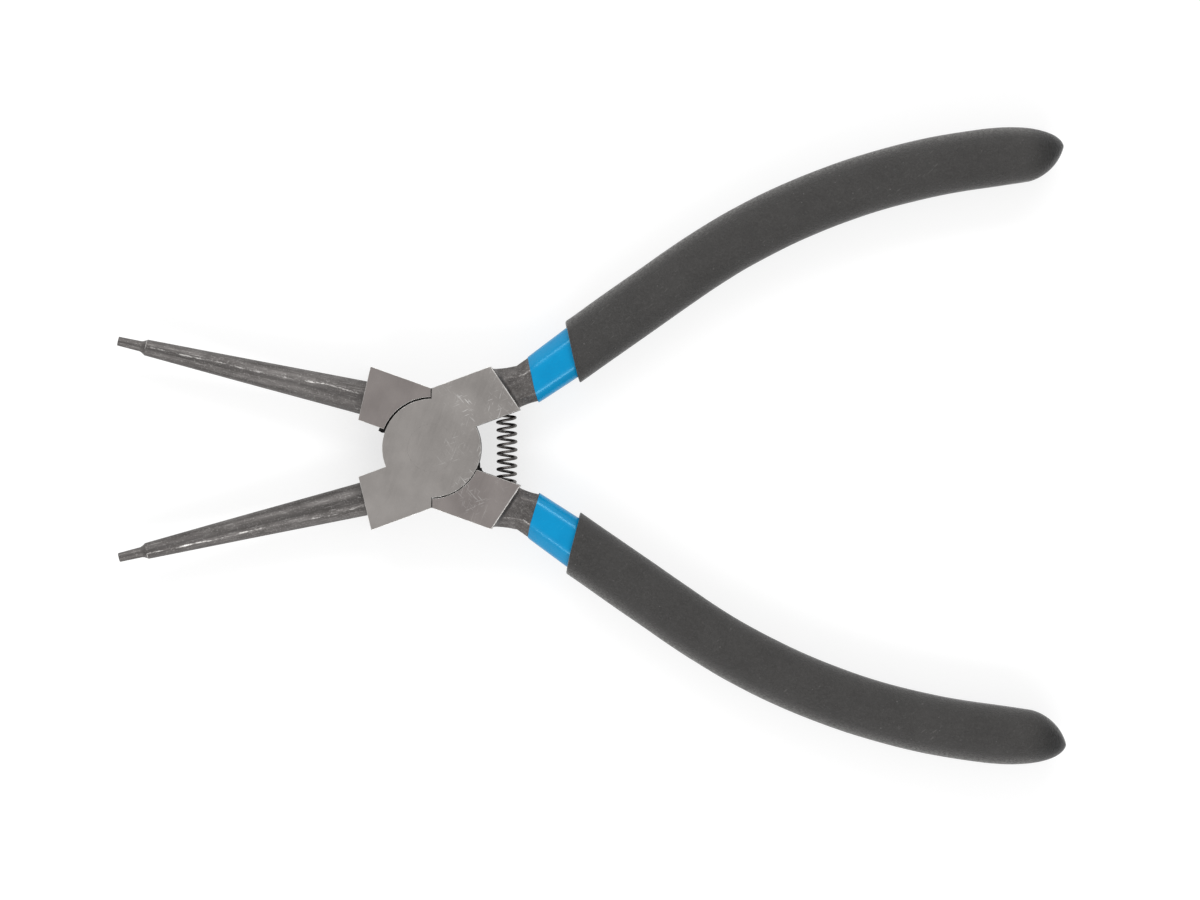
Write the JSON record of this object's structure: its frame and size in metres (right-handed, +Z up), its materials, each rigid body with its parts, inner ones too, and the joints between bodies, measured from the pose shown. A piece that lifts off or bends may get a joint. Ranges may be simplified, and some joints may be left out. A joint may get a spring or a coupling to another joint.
{
  "type": "circlip pliers",
  "caption": "Internal circlip pliers with straight round tips, a lapped rivet joint, a coil return spring and dipped plastic handles; squeezing the handles closes the jaws.",
  "frame": {"origin": "on the pivot axis, at the underside of the joint, where the pliers lie on a bench", "axes": "+X along the centre line towards the handles, +Y across it towards the front lever's handle, +Z up along the pivot"},
  "size_m": [0.1667, 0.1118, 0.0104],
  "materials": {
    "lever_steel": "ground joint faces, dark phosphated forging elsewhere",
    "rivet_steel": "ground flush",
    "spring_wire": "dark drawn wire",
    "sleeve_plastic": "glossy blue dip",
    "grip_plastic": "matte dark grey dip"
  },
  "bodies": {
    "front_body": {"front_lever": "lever_steel", "pivot_rivet": "rivet_steel", "return_spring": "spring_wire", "front_sleeve": "sleeve_plastic", "front_grip": "grip_plastic"},
    "back_body": {"back_lever": "lever_steel", "back_sleeve": "sleeve_plastic", "back_grip": "grip_plastic"}
  },
  "joints": [
    {"name": "handle_close", "type": "hinge", "parent": "front_body", "child": "back_body", "pos_m": [0, 0, 0.0052], "axis": [0, 0, 1], "range_deg": [0, 35.7], "stiffness_Nm_per_rad": 0.27, "springref_deg": -8.59, "deforming": ["return_spring"]}
  ]
}
